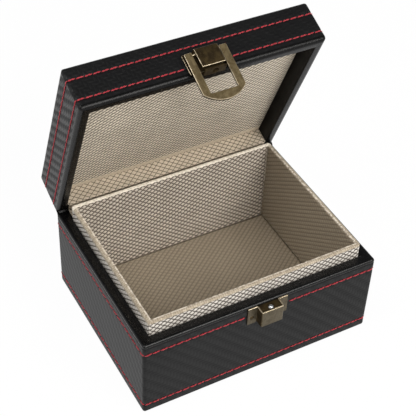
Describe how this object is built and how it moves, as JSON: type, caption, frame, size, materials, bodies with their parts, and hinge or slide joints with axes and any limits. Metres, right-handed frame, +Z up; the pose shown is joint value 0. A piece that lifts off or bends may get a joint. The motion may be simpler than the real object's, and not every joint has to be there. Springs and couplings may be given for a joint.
{
  "type": "faraday key box",
  "caption": "Small hinged box of leatherette over board with a shielding cloth lining and collar, a swinging hasp loop and a ball keeper, stored open.",
  "frame": {"origin": "middle of the underside of the base", "axes": "+X to the right, +Y to the back (hinge side), +Z up"},
  "size_m": [0.14, 0.1381, 0.1637],
  "materials": {
    "black_leatherette": "woven carbon-look grain, soft sheen",
    "shielding_cloth": "beige and silver conductive weave",
    "red_thread": "twisted polyester thread",
    "antique_brass": "aged, with bright rubbed edges",
    "bright_steel": "polished",
    "carcass_board": "raw fibreboard",
    "filler_foam": "closed-cell foam",
    "shield_foil": "nickel-copper shielding cloth",
    "felt_paper": "black felt paper"
  },
  "bodies": {
    "base": {"base_bottom_cover": "felt_paper", "base_bottom_board": "carcass_board", "base_front_board": "carcass_board", "base_back_board": "carcass_board", "base_left_board": "carcass_board", "base_right_board": "carcass_board", "base_leather_wrap": "black_leatherette", "base_stitching_lower": "red_thread", "base_stitching_upper": "red_thread", "base_shield_layer": "shield_foil", "liner_front_board": "carcass_board", "liner_back_board": "carcass_board", "liner_left_board": "carcass_board", "liner_right_board": "carcass_board", "liner_fabric": "shielding_cloth", "liner_floor_pad": "shielding_cloth", "hinge_fold": "black_leatherette", "hinge_gusset": "shielding_cloth", "keeper_bracket": "antique_brass", "keeper_core": "antique_brass", "keeper_spring": "bright_steel", "keeper_nails": "antique_brass"},
    "keeper_ball": {"keeper_ball": "bright_steel"},
    "lid": {"lid_top_board": "carcass_board", "lid_front_board": "carcass_board", "lid_back_board": "carcass_board", "lid_left_board": "carcass_board", "lid_right_board": "carcass_board", "lid_leather_wrap": "black_leatherette", "lid_stitching_lower": "red_thread", "lid_stitching_upper": "red_thread", "lid_shield_layer": "shield_foil", "lid_filler_foam": "filler_foam", "lid_lining_board": "carcass_board", "lid_lining_pad": "shielding_cloth", "lid_back_lining": "shielding_cloth", "hasp_bracket": "antique_brass", "hasp_pin": "antique_brass", "hasp_nails": "antique_brass"},
    "hasp_loop": {"hasp_loop": "antique_brass"}
  },
  "joints": [
    {"name": "lid_hinge", "type": "hinge", "parent": "base", "child": "lid", "pos_m": [0, 0.0545, 0.05315], "axis": [-1, 0, 0], "range_deg": [-67.5, 37.5]},
    {"name": "hasp_swing", "type": "hinge", "parent": "lid", "child": "hasp_loop", "pos_m": [0.002, 0.02103, 0.16127], "axis": [-1, 0, 0], "range_deg": [0, 170]},
    {"name": "ball_press", "type": "slide", "parent": "base", "child": "keeper_ball", "axis": [0, 0, -1], "range_m": [0, 0.0011], "stiffness_N_per_m": 400, "springref_m": -0.002, "deforming": ["keeper_spring"]}
  ]
}
